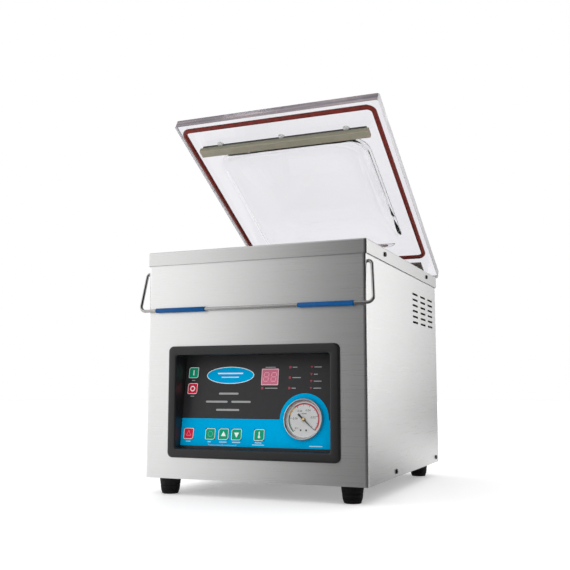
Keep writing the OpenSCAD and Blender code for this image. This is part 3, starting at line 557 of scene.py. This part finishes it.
LID_HALF_X = 184
LID_REAR = -0.3
LID_LENGTH = 480
LID_UNDER = 36.3
LID_THICK = 16
DOME_RUN = 70                        # width of the dome's shoulder
DOME_BULGE = 2.9
DOME_CORNER = 0.38                   # growth of the corner radius for each mm of inset


def lid_space():
    hinge = joints["lid_hinge"]
    swing = math.radians(hinge["range_deg"][0])
    return Matrix.Translation(hinge["pos_m"]) @ Matrix.Rotation(swing, 4, "X")


def lid_loop(half_x, near, far, radius, height):
    """A round-cornered loop in the lid's plane, between two distances from its rear edge."""
    place = lid_space()
    middle = LID_REAR - (near + far) / 2
    return [place @ Vector((x * MM, (middle + y) * MM, (LID_UNDER + height) * MM))
            for x, y in rounded_loop(half_x, (far - near) / 2, radius)]


def dome_profile(rise, steps=16):
    """(inset, height) pairs up a dome: a short lead-in, then a shoulder that levels out."""
    foot = 1.6
    lead = [(-4, 0), (-foot, 0.5)]
    return lead + [(DOME_RUN * k / steps, foot + (rise - foot) * (1 - (1 - k / steps) ** DOME_BULGE))
                   for k in range(steps + 1)]


def dome_loops(shape, base):
    """Loops up a dome of (half width, rear end, front end, corner radius, rise)."""
    half, near, far, radius, rise = shape
    return [lid_loop(half - inset, near + inset, far - inset, radius + inset * DOME_CORNER,
                     base + height) for inset, height in dome_profile(rise)]


def make_lid():
    """One skin: the hollow's top, out to the gasket's groove, round the edge and up over the dome."""
    chamfer = 0.8
    groove = 4.1                     # half its width
    groove_depth = 3.2
    gasket = (172, 76, 468, 12)      # half width, rear end, front end, corner radius
    hollow = (135, 110, 395, 34, 36)
    dome = (140, 105, 400, 38, 28)
    loops = dome_loops(hollow, 0)[::-1]
    half, near, far, radius = gasket
    for side, depth in ((-groove, 0), (-groove, groove_depth), (groove, groove_depth), (groove, 0)):
        loops.append(lid_loop(half + side, near - side, far + side, radius + side, depth))
    rim = len(loops)
    for inset, height in ((chamfer, 0), (0, chamfer), (0, LID_THICK - chamfer), (chamfer, LID_THICK)):
        loops.append(lid_loop(LID_HALF_X - inset, inset, LID_LENGTH - inset, 4, height))
    loops += dome_loops(dome, LID_THICK)
    lid = piece("clear_lid", *skinned(loops), "acrylic", "lid", "clear_acrylic", 30)
    lid.data.materials.append(looks["acrylic_edge"])
    lid.data.materials.append(looks["acrylic_side"])
    count = len(loops[0])
    # The rim's faces take painted reflection colours: pale lavender on the sides, streaked mauve on the front and
    # rear.
    for face in lid.data.polygons[rim * count:(rim + 3) * count]:
        face.material_index = 2 if abs(face.normal.x) > 0.5 else 1
    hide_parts("lid_plate")


# ---- flat prints ----

GAUGE_X = 79
GAUGE_UP = 46.5
PRINT_DEPTH = 0.12
PRINT_PROUD = 0.05


def panel_point(x, up, proud=0.0):
    """A point over the control panel: mm from the middle, mm up its face, mm towards the operator."""
    seat = joints["needle_sweep"]
    inward = Vector(seat["axis"])
    upward = Vector((0, -inward.z, inward.y))
    across = Vector(((x - GAUGE_X) * MM, 0, 0))
    return Vector(seat["pos_m"]) + across + upward * ((up - GAUGE_UP) * MM) - inward * (proud * MM)


def moved(points, x, up):
    return [(px + x, py + up) for px, py in points]


def spun(points, angle):
    c, s = math.cos(math.radians(angle)), math.sin(math.radians(angle))
    return [(x * c - y * s, x * s + y * c) for x, y in points]


def bar(x, up, width, height=1.3):
    return moved(rounded_loop(width / 2, height / 2, min(width, height) * 0.49, 3), x, up), None


def disc(x, up, radius, steps=32):
    return moved(arc((0, 0), radius, 0, 360 - 360 / steps, steps - 1), x, up), None


def hoop(x, up, radius, width, steps=48):
    outer = disc(x, up, radius, steps)[0]
    inner = disc(x, up, radius - width, steps)[0]
    return outer, inner


def sector(x, up, inner, outer, start, end, steps=24):
    """Part of a ring between two angles, as one outline."""
    edge = arc((0, 0), outer, start, end, steps) + arc((0, 0), inner, end, start, steps)
    return moved(edge, x, up), None


def decal(name, shapes, look, body, slot, height=0.0):
    """Thin printed shapes, each an (outline, hole or None), `height` mm above the panel's face."""
    whole = ([], [])
    low, high = height + PRINT_PROUD - PRINT_DEPTH, height + PRINT_PROUD
    for outline, hole in shapes:
        rings = [(outline, low), (outline, high)]
        if hole is not None:
            rings += [(hole, high), (hole, low)]
        loops = [[panel_point(x, up, proud) for x, up in ring] for ring, proud in rings]
        join(whole, skinned(loops, closed=hole is not None))
    return piece(name, *whole, look, body, slot, 20)


BADGE_AT = (-48, 113.4)
BADGE_SIZE = (41, 13.4)


def make_panel_prints():
    film_up = 0.3
    oval = [(BADGE_SIZE[0] * x, BADGE_SIZE[1] * y) for x, y in disc(0, 0, 1, 72)[0]]
    rim = [(x * 0.975, y * 0.93) for x, y in oval]
    decal("badge_rim", [(moved(oval, *BADGE_AT), moved(rim, *BADGE_AT))], "white_print", "root",
          "dial_white")
    decal("badge_field", [(moved(rim, *BADGE_AT), None)], "blue_film", "root", "panel_blue")
    rules = [bar(BADGE_AT[0], BADGE_AT[1] + 3, 44, 2.0), bar(BADGE_AT[0], BADGE_AT[1] - 3, 30, 1.2)]
    decal("badge_rules", rules, "white_print", "root", "dial_white", 0.05)
    title = [bar(-48.6, 84.8, 34, 3), bar(-68.5, 72.2, 38, 3), bar(-26.5, 72.2, 33, 3),
             bar(-48.6, 59.6, 40, 3)]
    # plain bars in the captions' places: middle, height up the panel, width
    captions = [(-112.5, 105.6, 6), (-112.5, 80.6, 7), (20, 125.4, 17), (23, 93.2, 21),
                (60.4, 125.2, 8), (63.8, 109.3, 14), (59.9, 93.3, 7),
                (97.6, 125.2, 12), (94.6, 114.3, 6.5), (97.9, 103.8, 12.5), (97.8, 93.3, 12.5)]
    decal("panel_captions", title + [bar(*place) for place in captions], "grey_print", "root",
          "dial_white")
    band = [(-113, 10.4, 8), (-76, 10.4, 6), (-52.6, 10.4, 13), (-30.2, 10.4, 14), (6.8, 10.6, 11),
            (6.8, 7.4, 20), (99.5, 7.7, 21)]
    bracket = [bar(-53.6, 5.6, 47.6, 0.5)] + [bar(x, 6.5, 0.5, 2.2) for x in (-77.2, -53.6, -30)]
    decal("band_captions", [bar(*place) for place in band] + bracket, "band_print", "root",
          "panel_blue", film_up)


DISPLAY_AT = (20, 110.5)
DISPLAY_HALF = (13.5, 12)


def make_display():
    glass_up = 0.4
    rim = rounded_loop(DISPLAY_HALF[0] + 0.7, DISPLAY_HALF[1] + 0.7, 1.2, 4)
    hole = rounded_loop(DISPLAY_HALF[0] - 0.5, DISPLAY_HALF[1] - 0.5, 0.6, 4)
    decal("display_rim", [(moved(rim, *DISPLAY_AT), moved(hole, *DISPLAY_AT))], "display_rim", "root",
          "display_red", glass_up)
    tall, wide, stroke = 6.6, 3.9, 1.5
    strokes = [(0, y, wide * 1.7, stroke) for y in (-tall, 0, tall)]
    strokes += [(x, y, stroke, tall - 1.8) for x in (-wide, wide) for y in (-tall / 2, tall / 2)]
    slant = 0.12
    digits = []
    for middle in (-6.3, 6.3):
        for x, y, w, h in strokes:
            outline = rounded_loop(w / 2, h / 2, 0.6, 2)
            outline = [(px + x + (py + y) * slant, py + y) for px, py in outline]
            digits.append((moved(outline, DISPLAY_AT[0] + middle, DISPLAY_AT[1]), None))
    decal("display_digits", digits, "digit_pink", "root", "display_red", glass_up)


KEY_HALF = 8.5
KEY_RADII = (1.5, 4, 1.5, 4)
KEY_PROUD = 0.9
KEY_LINE = 0.75                      # width of the key's outline


def triangle(side):
    """A triangle, point up, or point down for a negative side."""
    return [(0, side * 0.62), (-side * 0.55, -side * 0.38), (side * 0.55, -side * 0.38)]


def key_symbols():
    """Outlines of each key's symbol about its own middle."""
    dashes = [sector(0, 0, 3.5, 4.3, 45 * k + 5, 45 * k + 38, 4) for k in range(8)]
    warning = (triangle(8.4), triangle(6.2))
    thermometer = [bar(0, 1.2, 1.7, 7.6), disc(0, -3, 1.9, 20)]
    return {"key_on": [bar(0, 0, 1.9, 8.4)], "key_off": [hoop(0, 0, 4.3, 1.5)], "key_stop": [warning],
            "key_set": dashes, "key_up": [(triangle(7.6), None)], "key_down": [(triangle(-7.6), None)],
            "key_temp": thermometer}


def make_key_prints():
    seat = panel_point(0, 0)
    upward = (panel_point(0, 1) - seat).normalized()
    faint = {"key_stop": "faint_red", "key_set": "faint_green"}
    bodies = frame["record"]["behaviour"]["bodies"]
    for key, shapes in key_symbols().items():
        body = next(name for name, members in bodies.items() if key in members)
        low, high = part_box(key)
        centre = (low + high) / 2 - seat
        at = (centre.x / MM, centre.dot(upward) / MM)
        placed = [(moved(o, *at), None if h is None else moved(h, *at)) for o, h in shapes]
        outer = rounded_loop(KEY_HALF, KEY_HALF, KEY_RADII, 6)
        within = KEY_HALF - KEY_LINE
        inner = rounded_loop(within, within, tuple(r * 0.8 for r in KEY_RADII), 6)
        outline = [(moved(outer, *at), moved(inner, *at))]
        decal(key + "_outline", outline, "key_white", body, "dial_white", KEY_PROUD)
        decal(key + "_symbol", placed, faint.get(key, "key_white"), body, "dial_white", KEY_PROUD)


# ---- the gauge ----

ZERO_ANGLE = -41
SWEEP = 270
DIAL_UP = 0.5
DIAL_STEPS = 50
LONG_MARK = (19.8, 0.34)             # inner radius and half width
MIDDLE_MARK = (20.8, 0.26)
SHORT_MARK = (21.6, 0.16)
MARKS_END = 22.7


def dial_number(text, x, up, size):
    """The outline mesh of a short number, centred on a point of the dial."""
    curve = bpy.data.curves.new("number", "FONT")
    curve.body = text
    curve.size = size
    curve.align_x = "CENTER"
    curve.align_y = "CENTER"
    curve.resolution_u = 3
    curve.extrude = PRINT_PROUD
    drawn = bpy.data.objects.new("number", curve)
    mesh = drawn.to_mesh()
    verts = [panel_point(v.co.x + x, v.co.y + up, DIAL_UP + v.co.z) for v in mesh.vertices]
    faces = [tuple(face.vertices) for face in mesh.polygons]
    bpy.data.objects.remove(drawn)
    return verts, faces


def make_dial():
    x, up = GAUGE_X, GAUGE_UP
    for name, start, end in (("red", 0, 0.64), ("yellow", 0.64, 0.76), ("green", 0.76, 1)):
        part = sector(x, up, 22.6, 24.6, ZERO_ANGLE + start * SWEEP, ZERO_ANGLE + end * SWEEP)
        decal("dial_arc_" + name, [part], "dial_" + name, "root", "dial_white", DIAL_UP)
    marks = []
    for k in range(DIAL_STEPS + 1):
        inner, width = LONG_MARK if k % 10 == 0 else MIDDLE_MARK if k % 5 == 0 else SHORT_MARK
        mark = [(inner, -width), (MARKS_END, -width), (MARKS_END, width), (inner, width)]
        marks.append((moved(spun(mark, ZERO_ANGLE + SWEEP * k / DIAL_STEPS), x, up), None))
    marks += [disc(x - 4.4, up - 15.8, 1.3, 20), disc(x + 4.4, up - 15.8, 1.3, 20)]
    marks.append(bar(x, up + 8.6, 8, 0.9))
    decal("dial_marks", marks, "ink_black", "root", "dial_white", DIAL_UP)
    numbers = ([], [])
    for k, text in enumerate(("0", "-0.02", "-0.04", "-0.06", "-0.08", "-0.1")):
        angle = math.radians(ZERO_ANGLE + SWEEP * k / 5)
        reach = 17 if k in (0, 5) else 14.6
        at = (x + reach * math.cos(angle), up + reach * math.sin(angle))
        join(numbers, dial_number(text, *at, 4.3))
    piece("dial_numbers", *numbers, "ink_black", "root", "dial_white")


def lathe(name, profile, place, look, body, slot, steps=48, angle=35, replaced=()):
    """A turned solid as one piece, which may stand for CAD nodes."""
    turned = piece(name, *skinned(turned_loops(profile, place, steps)), look, body, slot, angle)
    if replaced:
        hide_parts(*replaced)
    return turned


def make_gauge_ring():
    """The case: can behind the panel, flange, rolled ring with a sloping inner lip."""
    def place(x, y, height):
        return panel_point(GAUGE_X + x, GAUGE_UP + y, height)

    outside = [(2, -40), (5, -40), (5, -26), (28, -26), (28, 0.02), (31.1, 0.02)]
    roll = arc((29.7, 4.7), 1.4, 0, 115, 8)
    inside = [(27.0, 1.2), (26.6, 0.5), (26.6, -24), (2, -24)]
    profile = outside + roll + inside
    lathe("gauge_ring", profile, place, "ring_satin", "root", "chrome", 72, 40, ("gauge_case",))
    cap = [(2.5, 2.9)] + arc((1.2, 2.9), 1.2, 0, 80, 4) + [(0.2, 4.1)]
    lathe("needle_cap", cap, place, "brass", "needle", "brass", 24)


# ---- bezel, feet and screws ----

DECK_Y = (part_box("chamber_deck")[0].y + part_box("chamber_deck")[1].y) / 2 / MM
FRONT_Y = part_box("cabinet_shell")[0].y / MM
REAR_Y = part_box("rear_panel")[1].y / MM
SIDE_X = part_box("cabinet_shell")[1].x / MM
BEZEL_HALF = (141.5, 86)
OPENING_HALF = (127.25, 71.75)
BEZEL_Z = 143.75
PANEL_FOOT_Z = 72
PANEL_FOOT_DEPTH = 11


def make_bezel():
    def loop(half, radius, depth):
        return [Vector((x, FRONT_Y + depth, BEZEL_Z + z)) * MM
                for x, z in rounded_loop(half[0], half[1], radius)]

    def at_panel(half, radius):
        lean = math.tan(math.asin(-joints["needle_sweep"]["axis"][2]))
        return [Vector((x, FRONT_Y + PANEL_FOOT_DEPTH + (BEZEL_Z + z - PANEL_FOOT_Z) * lean,
                        BEZEL_Z + z)) * MM for x, z in rounded_loop(half[0], half[1], radius)]

    def grown(half, by):
        return half[0] + by, half[1] + by

    proud, roll, corner, lip = 5, 3.4, 8, 2.4
    straight = proud - roll
    loops = [loop(BEZEL_HALF, corner, 0), loop(BEZEL_HALF, corner, -straight)]
    for inset, height in arc((-roll, straight), roll, 0, 90, 6)[1:]:
        loops.append(loop(grown(BEZEL_HALF, inset), corner + inset * 0.6, -height))
    for outset, depth in arc((lip, proud - lip), lip, 90, 180, 6):
        loops.append(loop(grown(OPENING_HALF, outset), 3 + outset, -depth))
    loops.append(at_panel(OPENING_HALF, 3))
    loops.append(at_panel(grown(OPENING_HALF, 4), 4.8))
    loops.append(loop(grown(OPENING_HALF, 4), 4.8, 0))
    rolled = piece("bezel_frame", *skinned(loops, closed=True), "bezel_plastic", "root",
                   "bezel_plastic", 30)
    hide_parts("bezel")


FOOT_X = 151
FOOT_Y = (-208, 197)                 # from the deck's middle
FOOT_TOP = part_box("rubber_feet")[1].z / MM


def make_feet():
    """Moulded feet: a rounded tread, two shallow grooves and a flange."""
    profile = [(4, 3), (4, 0.8), (6, 0)] + arc((11.3, 1.6), 1.6, -90, 0, 5)
    for height in (7, 13):
        reach = 14.1 + height * 0.1
        profile += [(reach, height), (reach - 0.7, height + 0.6), (reach + 0.1, height + 1.2)]
    profile += [(16.6, FOOT_TOP - 2.5), (17, FOOT_TOP - 2), (17, FOOT_TOP), (3, FOOT_TOP)]
    for k, (x, y) in enumerate((x, DECK_Y + y) for x in (-FOOT_X, FOOT_X) for y in FOOT_Y):
        def place(u, v, height, x=x, y=y):
            return Vector((x + u, y + v, height)) * MM
        lathe("foot_" + str(k), profile, place, "foot_rubber", "root", "black_rubber")
    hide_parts("rubber_feet")


SKIRT_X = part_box("chamber_deck")[1].x / MM
SKIRT_SCREW_Y = (-137, 149)          # from the deck's middle
SKIRT_SCREW_Z = 371.6
BASE_SCREW_Y = (-82, 206)            # the same
BASE_SCREW_Z = 34.8
REAR_SCREW_X = 173.8
REAR_SCREW_Z = (46, 190, 322)
HEAD_SIDES = 20


def make_screw_heads():
    """Crowned heads over the CAD's flat ones, with near-black crossed bars in each crown as painted shade for the
    cross recess.
    """
    sideways, backwards = Vector((1, 0, 0)), Vector((0, 1, 0))
    seats = [(Vector((SKIRT_X, DECK_Y + y, SKIRT_SCREW_Z)), sideways) for y in SKIRT_SCREW_Y]
    seats += [(Vector((SIDE_X, DECK_Y + y, BASE_SCREW_Z)), sideways) for y in BASE_SCREW_Y]
    seats += [(Vector((REAR_SCREW_X, REAR_Y, z)), backwards) for z in REAR_SCREW_Z]
    slot = [(-1.9, -0.35), (1.9, -0.35), (1.9, 0.35), (-1.9, 0.35)]
    crown = [(3.65, 0.05), (3.7, 0.8)] + arc((2.6, 0.9), 1.1, 10, 80, 4) + [(0.3, 2.15)]
    heads, recess_shades = ([], []), ([], [])
    for side in (-1, 1):
        for at, axis in seats:
            seat = Vector((side * at.x, at.y, at.z))
            out = Vector((side * axis.x, axis.y, axis.z))
            along = Vector((0, 0, 1))
            across = along.cross(out)

            def place(u, v, height):
                return (seat + across * u + along * v + out * height) * MM

            join(heads, skinned(turned_loops(crown, place, HEAD_SIDES)))
            # Bars of painted shade where each cross recess would be.
            for angle in (20, 110):
                join(recess_shades, skinned([[place(u, v, h) for u, v in spun(slot, angle)] for h in (1.6, 2.2)]))
    piece("screw_heads", *heads, "screw_black", "root", "black_paint", 40)
    piece("screw_recess_shades", *recess_shades, "cross_recess", "root", "black_paint", 40)


paint_cad_nodes()
soften(1.2, "seal_pad", "bail_sleeves", "filler_plates")
soften(0.6, "pad_rail", "hinge_leaf", "lid_arms", "hinge_brackets", "seal_bar_body")
make_lid()
make_feet()
make_screw_heads()
make_panel_prints()
make_display()
make_key_prints()
make_dial()
make_gauge_ring()
make_bezel()

bpy.context.scene.view_settings.view_transform = "Standard"
